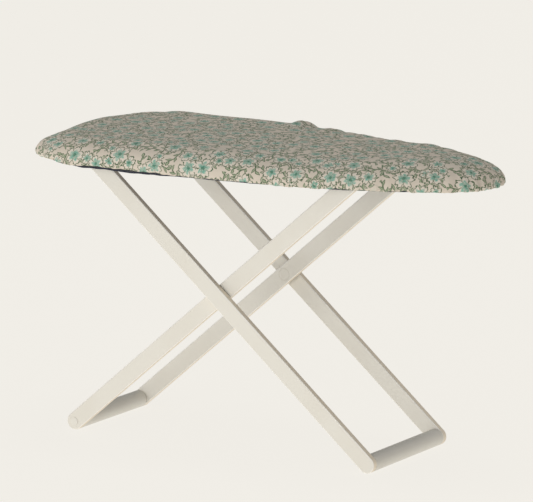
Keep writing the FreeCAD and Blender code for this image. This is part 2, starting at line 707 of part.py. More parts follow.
NODES = [
    "cover", "pad", "base_panel", "felt_backing", "slide_strap", "strap_screws", "saddle_screws",
    "hinge_saddle_front", "hinge_saddle_back", "hinge_rod", "hinge_collar_front", "hinge_collar_back",
    "outer_leg_front", "outer_leg_back", "outer_foot_bar", "crossing_rivet_front", "crossing_rivet_back",
    "crossing_washer_front", "crossing_washer_back", "inner_leg_front", "inner_leg_back",
    "inner_foot_bar", "slide_rod",
]


def check_document():
    for item in doc.Objects:
        for fault in ("Invalid", "Error"):
            assert fault not in item.State, f"{item.Label}: {item.State}"


def write_parts():
    os.makedirs("parts", exist_ok=True)
    for label in NODES:
        shape = doc.getObjectsByLabel(label)[0].Shape
        assert not shape.isNull() and shape.isValid(), f"{label} has no valid shape"
        assert all(solid.Volume > 0 for solid in shape.Solids) and shape.Solids, f"{label} has no solid"
        shape.exportStep(f"parts/{label}.step")


make_felt()
make_panel()
make_pad()
make_cover()
make_outer_frame()
make_inner_frame()
make_rivets_and_rings()
for saddle_side, saddle_sign in SIDES.items():
    make_saddle(f"hinge_saddle_{saddle_side}", saddle_sign)
make_slide_strap()
make_screws()
doc.recompute()
check_document()
write_parts()
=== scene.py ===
import math

import bpy
import numpy as np
from mathutils import Matrix, Vector


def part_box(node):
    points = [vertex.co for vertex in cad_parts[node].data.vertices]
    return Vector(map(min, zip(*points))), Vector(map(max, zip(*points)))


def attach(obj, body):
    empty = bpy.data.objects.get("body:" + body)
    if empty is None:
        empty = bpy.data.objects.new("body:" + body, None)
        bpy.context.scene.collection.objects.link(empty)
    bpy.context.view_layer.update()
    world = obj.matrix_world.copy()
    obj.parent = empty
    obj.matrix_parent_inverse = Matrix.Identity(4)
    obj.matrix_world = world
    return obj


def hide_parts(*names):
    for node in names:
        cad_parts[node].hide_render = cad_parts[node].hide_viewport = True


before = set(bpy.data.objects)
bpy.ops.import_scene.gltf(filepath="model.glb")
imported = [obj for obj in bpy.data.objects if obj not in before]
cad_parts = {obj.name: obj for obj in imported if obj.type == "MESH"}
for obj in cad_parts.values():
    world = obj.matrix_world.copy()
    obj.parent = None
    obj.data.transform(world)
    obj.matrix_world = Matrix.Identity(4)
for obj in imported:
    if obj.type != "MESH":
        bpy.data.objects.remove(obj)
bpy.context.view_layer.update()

# Doll-size ironing board in the CAD frame: metres, +Z up, the nose at +X, the front at -Y.

MM = 0.001
SEED = 7

board_low, board_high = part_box("cover")
felt_low, felt_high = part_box("felt_backing")


# ---------------------------------------------------------------- node helpers

class Field:
    """A shader socket or a number, with arithmetic that adds Math nodes."""

    def __init__(self, tree, value):
        self.tree = tree
        self.value = value

    def _math(self, operation, *others, clamp=False):
        node = self.tree.nodes.new("ShaderNodeMath")
        node.operation = operation
        node.use_clamp = clamp
        for socket, item in zip(node.inputs, (self, *others)):
            put(self.tree, item, socket)
        return Field(self.tree, node.outputs[0])

    def __add__(self, other):
        return self._math("ADD", other)

    def __sub__(self, other):
        return self._math("SUBTRACT", other)

    def __rsub__(self, other):
        return Field(self.tree, other)._math("SUBTRACT", self)

    def __mul__(self, other):
        return self._math("MULTIPLY", other)

    def __truediv__(self, other):
        return self._math("DIVIDE", other)

    __radd__ = __add__
    __rmul__ = __mul__

    def power(self, other):
        return self._math("POWER", other)

    def sin(self):
        return self._math("SINE")

    def cos(self):
        return self._math("COSINE")

    def abs(self):
        return self._math("ABSOLUTE")

    def fract(self):
        return self._math("FRACT")

    def floor(self):
        return self._math("FLOOR")

    def max(self, other):
        return self._math("MAXIMUM", other)

    def angle_from(self, across):
        return self._math("ARCTAN2", across)

    def step(self, start, end):
        """0 before start and 1 after end, smooth between them."""
        node = self.tree.nodes.new("ShaderNodeMapRange")
        node.interpolation_type = "SMOOTHSTEP"
        put(self.tree, self, node.inputs["Value"])
        put(self.tree, start, node.inputs["From Min"])
        put(self.tree, end, node.inputs["From Max"])
        return Field(self.tree, node.outputs["Result"])


def put(tree, item, socket):
    """Links a socket or field to an input, or sets the input's own value."""
    item = item.value if isinstance(item, Field) else item
    if isinstance(item, bpy.types.NodeSocket):
        tree.links.new(item, socket)
    else:
        socket.default_value = item


class Paint:
    """A new material with its Principled shader, and short ways to add nodes to it."""

    def __init__(self, name, roughness=0.5, specular=0.5, sheen=0.0, coat=0.0):
        self.material = bpy.data.materials.new(name)
        self.material.use_nodes = True
        self.tree = self.material.node_tree
        self.shader = self.tree.nodes["Principled BSDF"]
        self.shader.inputs["Roughness"].default_value = roughness
        self.shader.inputs["Specular IOR Level"].default_value = specular
        self.shader.inputs["Sheen Weight"].default_value = sheen
        self.shader.inputs["Coat Weight"].default_value = coat

    def number(self, value):
        return Field(self.tree, value)

    def place(self, name="Object"):
        return self.tree.nodes.new("ShaderNodeTexCoord").outputs[name]

    def parts(self, vector):
        node = self.tree.nodes.new("ShaderNodeSeparateXYZ")
        put(self.tree, vector, node.inputs[0])
        return [Field(self.tree, output) for output in node.outputs]

    def vector(self, x, y, z=0.0):
        node = self.tree.nodes.new("ShaderNodeCombineXYZ")
        for socket, item in zip(node.inputs, (x, y, z)):
            put(self.tree, item, socket)
        return node.outputs[0]

    def scaled(self, vector, factor):
        node = self.tree.nodes.new("ShaderNodeVectorMath")
        node.operation = "SCALE"
        put(self.tree, vector, node.inputs[0])
        put(self.tree, factor, node.inputs["Scale"])
        return node.outputs[0]

    def joined(self, operation, first, second):
        node = self.tree.nodes.new("ShaderNodeVectorMath")
        node.operation = operation
        put(self.tree, first, node.inputs[0])
        put(self.tree, second, node.inputs[1])
        return node.outputs[0]

    def noise(self, vector, scale, detail=3.0, roughness=0.55, distortion=0.0):
        node = self.tree.nodes.new("ShaderNodeTexNoise")
        put(self.tree, vector, node.inputs["Vector"])
        node.inputs["Scale"].default_value = scale
        node.inputs["Detail"].default_value = detail
        node.inputs["Roughness"].default_value = roughness
        node.inputs["Distortion"].default_value = distortion
        return Field(self.tree, node.outputs["Fac"])

    def mix(self, amount, first, second):
        node = self.tree.nodes.new("ShaderNodeMix")
        node.data_type = "RGBA"
        put(self.tree, amount, node.inputs["Factor"])
        colours = [socket for socket in node.inputs if socket.type == "RGBA"]
        for socket, item in zip(colours, (first, second)):
            if isinstance(item, tuple):
                item = (*item, 1.0)
            put(self.tree, item, socket)
        return [output for output in node.outputs if output.type == "RGBA"][0]

    def bump(self, height, depth, normal=None):
        node = self.tree.nodes.new("ShaderNodeBump")
        node.inputs["Distance"].default_value = depth
        put(self.tree, height, node.inputs["Height"])
        if normal is not None:
            put(self.tree, normal, node.inputs["Normal"])
        return node.outputs[0]

    def finish(self, colour, roughness=None, normal=None):
        put(self.tree, colour, self.shader.inputs["Base Color"])
        if roughness is not None:
            put(self.tree, roughness, self.shader.inputs["Roughness"])
        if normal is not None:
            put(self.tree, normal, self.shader.inputs["Normal"])
        return self.material


# ---------------------------------------------------------------- materials

CREAM = (0.745, 0.716, 0.645)
CREAM_SHADE = (0.716, 0.678, 0.598)
# Painted light: a lighter tan for the legs' narrow edges.
EDGE_LIGHT_TAN = (0.95, 0.81, 0.62)
# Painted highlight: a pale colour for the legs' bevels.
BEVEL_HIGHLIGHT = (0.95, 0.92, 0.86)
BLACK = (0.018, 0.019, 0.022)
BLACK_SCUFFED = (0.10, 0.10, 0.105)
ZINC_STAINED = (0.30, 0.29, 0.27)
ZINC = (0.58, 0.57, 0.54)
NYLON = (0.05, 0.045, 0.04)
NYLON_RUBBED = (0.09, 0.08, 0.07)
BIRCH_DARK = (0.50, 0.34, 0.19)
BIRCH = (0.70, 0.53, 0.33)
GLUE = (0.25, 0.15, 0.08)
NAVY_DARK = (0.012, 0.016, 0.030)
NAVY = (0.028, 0.034, 0.058)
LOOSE_FIBRE = (0.11, 0.12, 0.15)
WADDING_SHADE = (0.62, 0.60, 0.56)
WADDING = (0.88, 0.87, 0.84)
PLY_THICK = 1.0 * MM


def leg_enamel():
    """Cream enamel on steel strip, with painted light: the narrow edges painted a lighter tan than the
    faces, and a painted highlight along the bevels.
    """
    paint = Paint("leg_enamel", roughness=0.42, specular=0.45, coat=0.08)
    place = paint.place()
    across = paint.parts(paint.place("Normal"))[1].abs()
    blotches = paint.noise(place, 55.0, 3.0).step(0.38, 0.66)
    grain = paint.noise(place, 380.0, 2.0)
    # Painted light: the narrow edges, found by the normal, are painted a lighter tan than the faces,
    # standing in for the light that would brighten them.
    painted_edge_light = (1.0 - across.step(0.20, 0.55)) * (paint.noise(place, 90.0, 3.0) * 0.5 + 0.55)
    # Painted highlight: a pale line along the bevels between the faces and the narrow edges.
    bevel_highlight = across.step(0.40, 0.60) * (1.0 - across.step(0.82, 0.96))
    colour = paint.mix(blotches * 0.5, CREAM, CREAM_SHADE)
    colour = paint.mix(painted_edge_light * 0.85, colour, EDGE_LIGHT_TAN)
    colour = paint.mix(bevel_highlight * 0.8, colour, BEVEL_HIGHLIGHT)
    rough = 0.38 + grain * 0.12 + painted_edge_light * 0.08
    return paint.finish(colour, rough, paint.bump(grain, 0.000001))


def bar_enamel():
    """The same enamel on the round bars, with faint rings left by turning."""
    paint = Paint("bar_enamel", roughness=0.42, specular=0.45, coat=0.08)
    place = paint.place()
    blotches = paint.noise(place, 70.0, 3.0).step(0.36, 0.66)
    rings = paint.noise(paint.joined("MULTIPLY", place, (1.0, 14.0, 1.0)), 420.0, 2.0)
    colour = paint.mix(blotches * 0.55, CREAM, CREAM_SHADE)
    return paint.finish(colour, 0.36 + rings * 0.14, paint.bump(rings, 0.00002))


def dark_enamel():
    """Black enamel with paler scuffs."""
    paint = Paint("dark_enamel", roughness=0.4, specular=0.5)
    place = paint.place()
    grain = paint.noise(place, 700.0, 3.0)
    scuffs = paint.noise(place, 190.0, 4.0).step(0.62, 0.74)
    colour = paint.mix(scuffs * 0.45, BLACK, BLACK_SCUFFED)
    return paint.finish(colour, 0.34 + grain * 0.2, paint.bump(grain, 0.00002))


def zinc():
    """Zinc-plated steel with dull stains."""
    paint = Paint("zinc", specular=0.5)
    paint.shader.inputs["Metallic"].default_value = 1.0
    place = paint.place()
    stains = paint.noise(place, 600.0, 3.0)
    colour = paint.mix(stains, ZINC_STAINED, ZINC)
    return paint.finish(colour, 0.26 + stains * 0.3, paint.bump(stains, 0.00002))


def nylon():
    """Dark nylon with rubbed marks."""
    paint = Paint("nylon", roughness=0.5)
    marks = paint.noise(paint.place(), 800.0, 3.0)
    colour = paint.mix(marks, NYLON, NYLON_RUBBED)
    return paint.finish(colour, 0.4 + marks * 0.2)


def plywood():
    """Birch plywood: long grain along X, thin dark glue lines through its thickness."""
    paint = Paint("plywood", roughness=0.6, specular=0.3)
    place = paint.place()
    height = paint.parts(place)[2]
    grain = paint.noise(paint.joined("MULTIPLY", place, (1.0, 16.0, 16.0)), 60.0, 4.0)
    layers = ((height / PLY_THICK).fract() - 0.5).abs().step(0.42, 0.48)
    colour = paint.mix(grain, BIRCH_DARK, BIRCH)
    colour = paint.mix(layers * 0.5, colour, GLUE)
    return paint.finish(colour, 0.5 + grain * 0.25, paint.bump(grain, 0.00004))


def felt():
    """Navy wool felt with loose pale fibres."""
    paint = Paint("felt", roughness=0.95, specular=0.1, sheen=0.35)
    place = paint.place()
    fibres = paint.noise(place, 1500.0, 6.0, 0.75, 1.5)
    clumps = paint.noise(place, 260.0, 3.0)
    colour = paint.mix(clumps, NAVY_DARK, NAVY)
    colour = paint.mix(fibres.step(0.60, 0.72) * 0.5, colour, LOOSE_FIBRE)
    return paint.finish(colour, 0.9 + fibres * 0.1, paint.bump(fibres, 0.00018))


def wadding():
    """White polyester wadding, all fibres."""
    paint = Paint("wadding", roughness=0.95, specular=0.1, sheen=0.3)
    place = paint.place()
    fibres = paint.noise(place, 900.0, 6.0, 0.7, 1.2)
    colour = paint.mix(fibres, WADDING_SHADE, WADDING)
    return paint.finish(colour, 0.95, paint.bump(fibres, 0.0003))


GROUND = (0.72, 0.655, 0.555)
GROUND_WARM = (0.69, 0.60, 0.50)
PETAL = (0.77, 0.71, 0.62)
OLIVE = (0.036, 0.100, 0.034)
LEAF = (0.125, 0.25, 0.105)
TEAL = (0.105, 0.41, 0.315)
TEAL_DEEP = (0.05, 0.19, 0.12)
# Painted shade: a darker colour for the gaps between the threads.
THREAD_GAP_SHADE = (0.30, 0.27, 0.23)

# Sizes of the print and the weave, in millimetres of flat cloth.
TWIG_REACH = 3.6
TWIG_LINE = 0.31
LEAF_OFF = 0.66
LEAF_WIDE = 0.40
LEAVES = ((-0.78, 1), (-0.34, -1), (0.12, 1), (0.55, -1), (0.97, 1))  # place along the twig, and its side
BLOSSOM_LINE = 0.34
TWIG_LAYERS = ((6.6, 3.1), (6.0, 31.7))  # cell and shift
BLOSSOM_LAYERS = ((8.4, 0.0, 2.6, 0.66), (9.2, 57.3, 3.8, 0.92))  # cell, shift, radius, share filled
THREAD_PITCH = 0.42

UV_NAME = "cloth"
UV_UNIT = 0.1  # metres of cloth per unit of the cover's UV map


def scatter(paint, place, cell, shift, randomness=0.8):
    """One motif per cell of that many millimetres. Gives the place across it, turned at random, and three
    random numbers."""
    moved = paint.joined("ADD", place, (shift, shift * 0.7, 0.0))
    node = paint.tree.nodes.new("ShaderNodeTexVoronoi")
    node.voronoi_dimensions = "2D"
    node.inputs["Scale"].default_value = 1.0 / cell
    node.inputs["Randomness"].default_value = randomness
    put(paint.tree, moved, node.inputs["Vector"])
    chance = paint.parts(node.outputs["Color"])
    x, y, _ = paint.parts(paint.joined("SUBTRACT", moved, node.outputs["Position"]))
    turn = chance[0] * (2 * math.pi)
    cosine, sine = turn.cos(), turn.sin()
    return x * cosine - y * sine, x * sine + y * cosine, chance


def line_mask(distance, width):
    """1 on a line and 0 away from it, from the distance to its middle."""
    return 1.0 - distance.abs().step(width * 0.35, width * 0.95)


def blossom(x, y, chance, radius, line):
    """Five notched petals drawn in outline round a teal star. Gives masks of its surroundings, its petals,
    its lines, its star and the rays and eye in it."""
    size = chance[1] * 0.3 + 0.82
    x, y = x / size, y / size
    r = (x * x + y * y).power(0.5)
    lobe = ((y.angle_from(x) * (5 / (2 * math.pi))) + 10.0).fract() - 0.5
    side = lobe.abs() * 2.0
    notch = 1.0 - side.step(0.0, 0.30)
    edge = (1.0 - side.power(2.4) * 0.46 - notch * 0.16) * radius
    inside = 1.0 - r.step(edge - line * 0.5, edge)
    outline = line_mask(r - edge, line)
    between = line_mask(r * (1.0 - side) * 0.62, line * 0.7) * r.step(radius * 0.3, radius * 0.5) * inside
    star_edge = (1.0 - side * 0.42) * (radius * 0.65)
    star = 1.0 - r.step(star_edge - 0.22, star_edge + 0.12)
    rays = line_mask(((lobe * 3.0 + 10.5).fract() - 0.5) * r, 0.2)
    rays = rays * (1.0 - r.step(radius * 0.36, radius * 0.46))
    eye = 1.0 - r.step(radius * 0.12, radius * 0.20)
    halo = 1.0 - r.step(edge + line, edge + line * 1.6)
    return halo, inside, outline.max(between), star, rays.max(eye)


def twig(paint, x, y, chance, reach, line):
    """A curved twig with leaves on alternate sides. Gives masks of its lines, its leaves and its
    surroundings."""
    bend = (chance[1] - 0.5) * 0.25
    off = y - x * x * bend
    stretch = 1.0 - x.abs().step(reach * 0.95, reach)
    lines = line_mask(off, line) * stretch
    halo = line_mask(off, line * 3.0) * stretch
    fills = paint.number(0.0)
    for spot, lean in LEAVES:
        u = x - spot * reach
        v = off - lean * LEAF_OFF
        along = u * 0.74 + v * (0.67 * lean)
        beside = v * 0.74 - u * (0.67 * lean)
        pinch = beside.abs() + along * along * 0.22
        shape = pinch / LEAF_WIDE
        leaf = 1.0 - shape.step(0.80, 1.1)
        fills = fills.max(leaf)
        halo = halo.max(1.0 - shape.step(1.5, 1.9))
        lines = (lines * (1.0 - leaf)).max(line_mask(shape - 1.0, 0.40))
    return lines, fills, halo


def printed_cotton():
    """Plain-weave cotton printed with blossoms and twigs, all set out on the flat cloth."""
    paint = Paint("printed_cotton", roughness=0.88, specular=0.2, sheen=0.12)
    uv = paint.tree.nodes.new("ShaderNodeUVMap")
    uv.uv_map = UV_NAME
    flat = paint.scaled(uv.outputs[0], UV_UNIT / MM)
    wobble = paint.tree.nodes.new("ShaderNodeTexNoise")
    wobble.inputs["Scale"].default_value = 0.75
    wobble.inputs["Detail"].default_value = 1.5
    put(paint.tree, flat, wobble.inputs["Vector"])
    drift = paint.scaled(paint.joined("SUBTRACT", wobble.outputs["Color"], (0.5, 0.5, 0.5)), 1.5)
    place = paint.joined("ADD", flat, drift)
    gentle = paint.joined("ADD", flat, paint.scaled(drift, 0.35))
    lines, leaves, petals, teal, deep = (paint.number(0.0) for _ in range(5))
    for cell, shift in TWIG_LAYERS:
        x, y, chance = scatter(paint, gentle, cell, shift)
        stem, leaf, halo = twig(paint, x, y, chance, TWIG_REACH, TWIG_LINE)
        clear = 1.0 - halo
        lines, leaves = (lines * clear).max(stem), (leaves * clear).max(leaf)
    for cell, shift, radius, share in BLOSSOM_LAYERS:
        x, y, chance = scatter(paint, place, cell, shift, 0.7)
        shown = 1.0 - chance[2].step(share - 0.01, share + 0.01)
        masks = [mask * shown for mask in blossom(x, y, chance, radius, BLOSSOM_LINE)]
        halo, inside, outline, star, rays = masks
        clear = 1.0 - halo
        lines, leaves, teal, deep = lines * clear, leaves * clear, teal * clear, deep * clear
        petals = petals.max(inside)
        lines, teal, deep = lines.max(outline), teal.max(star), deep.max(rays * star)
    wash = paint.noise(flat, 1.1, 4.0, 0.6)
    ink = paint.noise(flat, 0.7, 3.0).step(0.3, 0.6)
    colour = paint.mix(paint.noise(flat, 0.06, 2.0), GROUND, GROUND_WARM)
    colour = paint.mix(petals * 0.5, colour, PETAL)
    colour = paint.mix(leaves * (0.35 + wash * 0.55), colour, LEAF)
    colour = paint.mix(teal * (0.28 + wash.step(0.32, 0.68) * 0.62), colour, TEAL)
    colour = paint.mix(lines * (0.76 + ink * 0.24), colour, OLIVE)
    colour = paint.mix(deep * 0.85, colour, TEAL_DEEP)
    u, v, _ = paint.parts(flat)
    turns = 2 * math.pi / THREAD_PITCH
    threads = (u * turns).sin() * (v * turns).sin()
    slubs = paint.noise(paint.joined("MULTIPLY", flat, (0.35, 3.0, 1.0)), 2.2, 2.0)
    weave = threads * 0.5 + slubs
    # Painted shade: darkens the cloth in the fine pattern of the weave, standing in for shade between the
    # threads.
    colour = paint.mix((threads * 0.5 + 0.5) * 0.12, colour, THREAD_GAP_SHADE)
    return paint.finish(colour, 0.84 + slubs * 0.12, paint.bump(weave, 0.00006))


def floor_paint():
    """Pale studio floor. It glows a little, so that no shadow shows on it."""
    paint = Paint("studio_floor", roughness=0.9, specular=0.1)
    speckle = paint.noise(paint.place(), 3.0, 2.0)
    colour = paint.mix(speckle, FLOOR_COLOUR, tuple(c * 0.995 for c in FLOOR_COLOUR))
    paint.finish(colour)
    paint.shader.inputs["Emission Color"].default_value = (*FLOOR_GLOW, 1.0)
    paint.shader.inputs["Emission Strength"].default_value = 1.0
    return paint.material


# ---------------------------------------------------------------- the board's outline

def hull(points):
    """Convex hull of points in the plane, anticlockwise."""
    points = sorted(set(map(tuple, points)))

    def half(ordered):
        chain = []
        for p in ordered:
            while len(chain) > 1:
                a, b = chain[-2], chain[-1]
                if (b[0] - a[0]) * (p[1] - a[1]) - (b[1] - a[1]) * (p[0] - a[0]) > 0:
                    break
                chain.pop()
            chain.append(p)
        return chain[:-1]

    return np.array(half(points) + half(points[::-1]))


def resampled(loop, count):
    """A closed loop's points at even distances, starting at the nose on the X axis."""
    loop = np.roll(loop, -int(np.argmax(loop[:, 0])), axis=0)
    closed = np.vstack([loop, loop[:1]])
    lengths = np.hypot(*np.diff(closed, axis=0).T)
    along = np.concatenate([[0.0], np.cumsum(lengths)])
    places = np.linspace(0.0, along[-1], count, endpoint=False)
    return np.stack([np.interp(places, along, closed[:, k]) for k in range(2)], axis=1), along[-1]


def smoothed(values, passes):
    for _ in range(passes):
        values = (np.roll(values, 1, axis=0) + 2 * values + np.roll(values, -1, axis=0)) / 4
    return values


def plan_outline(node, count):
    """The node's plan outline: points, outward normals, and its length."""
    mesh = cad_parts[node].data
    corners = np.array([vertex.co[:2] for vertex in mesh.vertices])
    points, length = resampled(hull(np.round(corners, 7)), count)
    points = smoothed(points, 3)
    tangent = np.roll(points, -1, axis=0) - np.roll(points, 1, axis=0)
    normal = np.stack([tangent[:, 1], -tangent[:, 0]], axis=1)
    normal = smoothed(normal / np.linalg.norm(normal, axis=1, keepdims=True), 6)
    return points, normal / np.linalg.norm(normal, axis=1, keepdims=True), length


def waves(length, count, terms, seed):
    """Smooth noise round a closed loop: (wavelength, height) terms with random phases, all in metres."""
    chance = np.random.default_rng(seed)
    along = np.linspace(0.0, 2 * math.pi, count, endpoint=False)
    total = np.zeros(count)
    for wavelength, height in terms:
        turns = max(1, round(length / wavelength))
        total += height * np.sin(turns * along + chance.uniform(0, 2 * math.pi))
    return total


def loop_area(loop):
    after = np.roll(loop, -1, axis=0)
    return 0.5 * abs(np.sum(loop[:, 0] * after[:, 1] - after[:, 0] * loop[:, 1]))


def ring_mesh(name, rings, closed_ends, uv=None):
    """A mesh from rings of equal, even counts, joined in turn. A closed end joins across its ring from side
    to side."""
    count = len(rings[0])
    verts = np.vstack(rings)
    faces = []
    for level in range(len(rings) - 1):
        for i in range(count):
            j = (i + 1) % count
            a, b = level * count, (level + 1) * count
            faces.append((a + j, a + i, b + i, b + j))
    for level, flip in closed_ends:
        base = level * count
        for i in range(count // 2):
            j = count - i
            quad = [base + i, base + i + 1, base + (j - 1) % count, base + j % count]
            quad = list(dict.fromkeys(quad))
            faces.append(tuple(quad[::-1] if flip else quad))
    mesh = bpy.data.meshes.new(name)
    mesh.from_pydata([tuple(v) for v in verts], [], faces)
    if uv is not None:
        layer = mesh.uv_layers.new(name=UV_NAME)
        spots = np.vstack(uv) / UV_UNIT
        for loop in mesh.loops:
            layer.data[loop.index].uv = spots[loop.vertex_index]
    mesh.shade_smooth()
    piece = bpy.data.objects.new(name, mesh)
    bpy.context.scene.collection.objects.link(piece)
    return piece


def spine(points, inset, low, high):
    """The nearest place to each outline point on the board's middle line."""
    return np.stack([np.clip(points[:, 0], low + inset, high - inset), np.zeros(len(points))], axis=1)


# ---------------------------------------------------------------- soft pieces

AROUND = 640  # points round each ring
TOP_RINGS = 15
SHOULDER_RINGS = 26
FOLD_RINGS = 10
HEM_RINGS = 7

EDGE_ACROSS = 11.0 * MM  # how far the shoulder reaches in from the outline
SHOULDER_POWER = 0.94  # below 1, the shoulder is squarer than a quarter of an ellipse
MIDDLE_INSET = 2.2 * EDGE_ACROSS  # from the board's ends to the ends of its middle line
MIDDLE_SHARE = 0.05  # where the innermost ring lies, as a share of the way out from the middle line
FOLD_RADIUS = 0.75 * MM
FOLD_TURN = 0.8 * math.pi
HEM = 8.0 * MM
CLOTH = 0.34 * MM
WADDING_INSIDE = 0.6 * MM  # from the cloth's face to the wadding
CLEAR = 0.1 * MM  # between the wadding and the panel

SIDE_FADE = (5.0, 25.0)  # from the middle line, in millimetres, where front and back begin and are full
TIGHT_RADIUS = 20.0 * MM  # a bend of this radius or less is gathered fully
LOOSE_GATHERS = 0.08 * MM
TIGHT_GATHERS = 0.34 * MM
LUMPS = 0.10 * MM

# Places along the board, on the X axis in millimetres: from, to, and the distance over which it fades.
TAIL_CORNERS = (-90.0, -76.0, 12.0)
HEM_LIFTS = (  # the last number of each is the lift
    ((-57.0, -29.0, 9.0), 0.7),
    ((-20.0, 12.0, 8.0), 0.4),
    ((40.0, 66.0, 4.0), 0.2),
)
HEM_TICKS = (43.5, 46.5, 67.0)
TICK_HIGH = 0.3
TICK_WIDE = 1.5
FELT_SEEN = (-60.0, -27.0, 6.0)

CORNER_IN = 0.8 * MM  # how far the tail's corners are rounded in
CORNER_ACROSS = 2.0 * MM  # how much wider the shoulder is there
NOSE_ACROSS = 4.5 * MM  # and how much wider towards the nose

# Heights, in millimetres: how far the top drops, and where the hem's fold lies above the board's underside.
NOSE_DROPS = ((-12.0, 14.0, 1.3), (25.0, 56.0, -1.2), (79.0, 91.0, 1.1))  # from, to, and the drop
CORNER_DROP = 0.7
HEM_LEVEL = -0.40
CORNER_HEM = 1.4

# Tucks along the back edge, where the cloth is gathered: place along X and height, in millimetres.
TUCKS = (
    (-10.2, 1.7), (4.6, 0.85), (13.6, 0.5), (20.2, 0.6),
    (28.4, 0.45), (36.6, 0.5), (54.6, 0.4), (64.0, 0.25),
)
TUCK_WIDE = 3.0 * MM
GATHER_PITCH = 4.3 * MM


def ramp(values, start, end):
    """0 at start, 1 at end, smooth between."""
    share = np.clip((values - start) / (end - start), 0.0, 1.0)
    return share * share * (3 - 2 * share)


def window(values, start, end, soft):
    """1 between start and end, fading to 0 outside them over a distance."""
    return ramp(values, start - soft, start) * (1 - ramp(values, end, end + soft))


class Plan:
    """The board's plan outline and what varies round it, in arrays of one value per outline point."""

    def __init__(self, node, count):
        self.points, self.normal, self.length = plan_outline(node, count)
        x, y = self.points[:, 0] / MM, self.points[:, 1] / MM
        self.count = count
        self.along = np.arange(count) / count * self.length
        self.front = ramp(-y, *SIDE_FADE)
        self.back = ramp(y, *SIDE_FADE)
        turn = np.arctan2(*np.roll(self.normal, -1, axis=0).T) - np.arctan2(*self.normal.T)
        turn = np.abs((turn + math.pi) % (2 * math.pi) - math.pi)
        bend = smoothed(turn / (self.length / count), 20)
        self.tight = np.clip(bend * TIGHT_RADIUS, 0.0, 1.0)
        tail_corner = window(x, *TAIL_CORNERS) * np.maximum(self.front, self.back)
        self.points = self.points - self.normal * (CORNER_IN * tail_corner[:, None])
        self.across = EDGE_ACROSS + NOSE_ACROSS * ramp(x, 0.0, 40.0) + CORNER_ACROSS * tail_corner
        nose_drop = sum(drop * ramp(x, start, end) for start, end, drop in NOSE_DROPS)
        self.drop = MM * (nose_drop * (0.6 + 0.4 * self.back) + CORNER_DROP * tail_corner - 0.05)
        lifted = sum(height * window(x, *where) for where, height in HEM_LIFTS)
        ticks = sum(TICK_HIGH * np.exp(-((x - spot) / TICK_WIDE) ** 2) for spot in HEM_TICKS)
        uneven = self.waves(((12.0, 0.09), (5.1, 0.08), (2.7, 0.04)), SEED + 9)
        raised = HEM_LEVEL + (lifted + ticks) * self.front + CORNER_HEM * tail_corner
        self.hem_low = MM * raised + uneven

    def waves(self, terms, seed):
        """Smooth noise round the outline, from (wavelength, height) terms in millimetres."""
        return waves(self.length, self.count, [(a * MM, b * MM) for a, b in terms], seed)

    def sunk(self, share):
        """How far the top has dropped at a share of the way out to the shoulder, in metres."""
        return self.drop * ramp(share, 0.1, 1.25)

    def tucks(self):
        """Height of the tucks at each outline point, in metres."""
        total = np.zeros(self.count)
        for place, height in TUCKS:
            spot = np.argmin(np.abs(self.points[:, 0] - place * MM) + (self.points[:, 1] < 0))
            total += height * MM * np.exp(-((self.along - self.along[spot]) / TUCK_WIDE) ** 2)
        return total

    def gathers(self):
        """Fine folds where the cloth goes round tight bends, in metres."""
        drift = self.waves(((55, 1.6), (23, 0.8)), SEED + 7)
        turns = round(self.length / GATHER_PITCH)
        folds = np.sin(2 * math.pi * turns * (self.along + drift) / self.length)
        uneven = 1.0 + self.waves(((31, 300), (13, 250)), SEED + 8)
        return folds * uneven * (LOOSE_GATHERS + TIGHT_GATHERS * self.tight)

    def area(self, reach):
        """Area inside the outline moved outwards by reach."""
        return loop_area(self.points + self.normal * reach)


def crown(plan, top, shrink):
    """Rings of the board's top, shoulder and side, moved inwards by shrink."""
    start = plan.points - plan.normal * plan.across[:, None]
    middle = spine(plan.points, MIDDLE_INSET, board_low.x, board_high.x)
    tucks, gathers = plan.tucks(), plan.gathers()
    rings = []
    for share in np.linspace(MIDDLE_SHARE, 1.0, TOP_RINGS)[:-1]:
        flat = middle + (start - middle) * share
        height = top + lumps(flat) - plan.sunk(share) + tucks * ramp(share, 0.55, 1.0) - shrink
        rings.append(np.column_stack([flat, height]))
    foot = plan.hem_low + board_low.z + FOLD_RADIUS
    for a in np.linspace(0.0, math.pi / 2, SHOULDER_RINGS):
        level = math.cos(a) ** SHOULDER_POWER
        inset = (plan.across - shrink) * (1 - math.sin(a) ** SHOULDER_POWER) + shrink
        out = gathers * (1 - level) + tucks * 0.45 * math.sin(a) * (0.25 + level)
        spot = plan.points + plan.normal * (out - inset)[:, None]
        edge = top - plan.sunk(1.0) + tucks + lumps(spot) * level - shrink
        rings.append(np.column_stack([spot, foot + (edge - foot) * level]))
    return rings


def lumps(spots):
    """Gentle lumps of the wadding, in metres."""
    x, y = spots[:, 0] / MM, spots[:, 1] / MM
    wide = np.sin(x / 7.1 + 1.3 * np.sin(y / 9.0)) + np.sin(y / 6.3 + 0.8 * np.sin(x / 11.0) + 2.0)
    return LUMPS * wide


